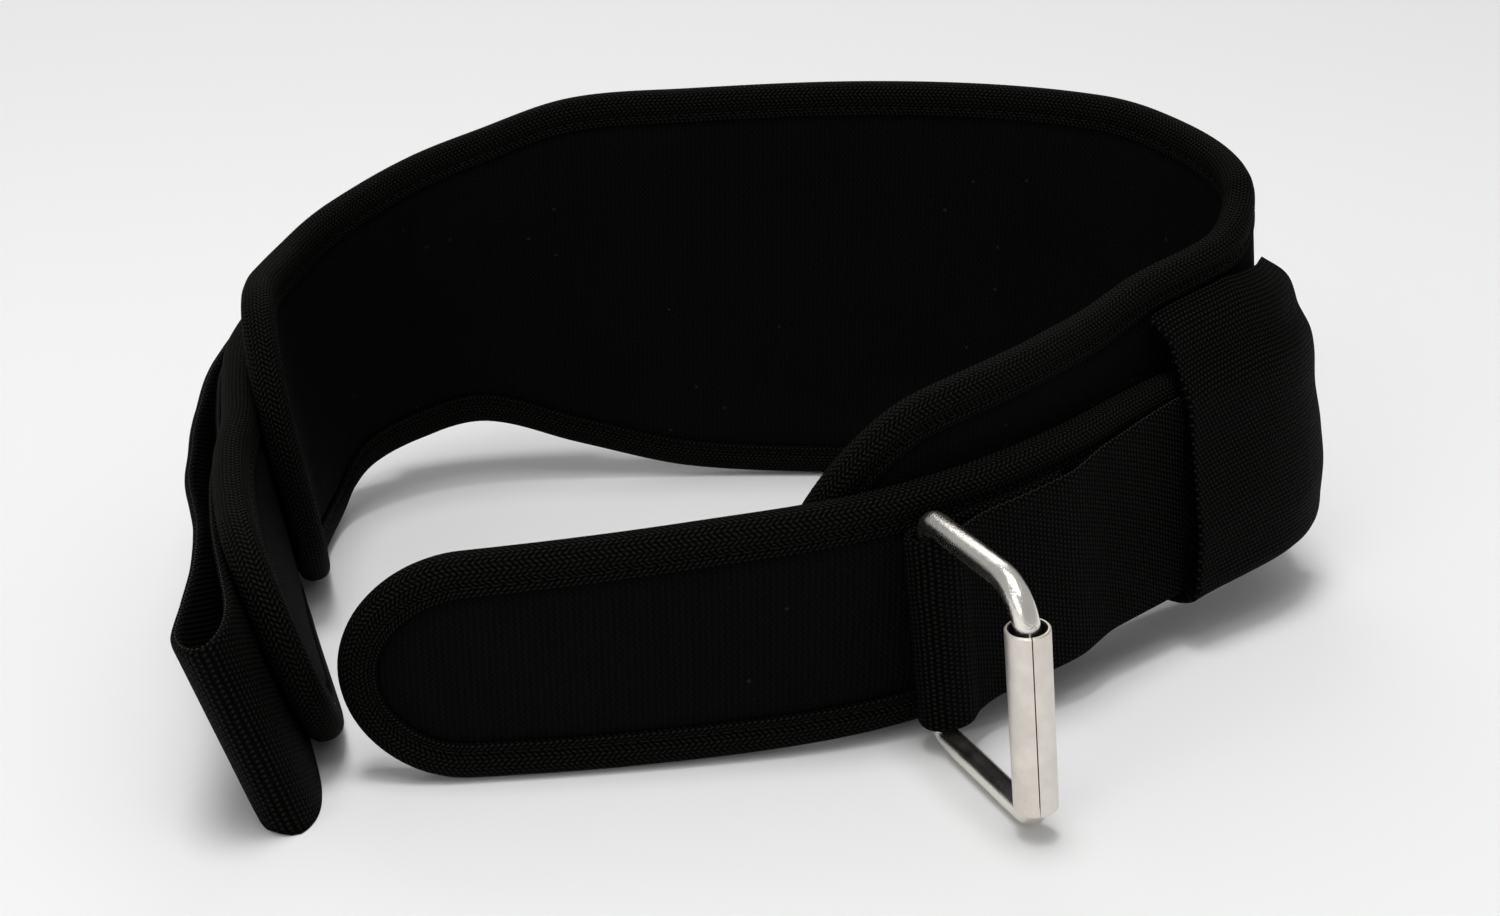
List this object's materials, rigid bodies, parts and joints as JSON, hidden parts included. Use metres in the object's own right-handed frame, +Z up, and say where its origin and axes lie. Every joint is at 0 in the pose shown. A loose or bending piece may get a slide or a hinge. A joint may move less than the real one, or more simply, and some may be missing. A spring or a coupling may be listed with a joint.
{
  "type": "weightlifting belt",
  "caption": "Padded waist belt with a tall rear panel, taped edges, webbing strap, sewn keepers and a swinging metal roller buckle.",
  "frame": {"origin": "middle of the belt's footprint, on the surface that it stands on", "axes": "+Z up; +X towards the buckle side, along the belt's width as it is worn; +Y towards the tall rear panel, with the open front at -Y"},
  "size_m": [0.2968, 0.2312, 0.1201],
  "materials": {
    "lining": "smooth brushed knit over foam",
    "binding_tape": "coarse woven tape with a stitch line",
    "webbing": "ribbed woven webbing",
    "polished_wire": "polished nickel plate",
    "satin_tube": "satin nickel plate"
  },
  "bodies": {
    "belt": {"back_panel": "lining", "back_panel_binding": "binding_tape", "outer_belt": "lining", "outer_belt_binding": "binding_tape", "strap": "webbing", "keeper_right": "webbing", "keeper_left": "webbing"},
    "buckle": {"buckle_frame": "polished_wire"},
    "roller": {"buckle_roller": "satin_tube"}
  },
  "joints": [
    {"name": "buckle_swing", "type": "hinge", "parent": "belt", "child": "buckle", "pos_m": [0.03634, -0.07372, 0.0298], "axis": [-0.1014, -0.0506, 0.9936], "range_deg": [-88, 84]},
    {"name": "roller_spin", "type": "hinge", "parent": "buckle", "child": "roller", "pos_m": [0.05212, -0.10991, 0.02751], "axis": [-0.1014, -0.0506, 0.9936], "continuous": true}
  ]
}
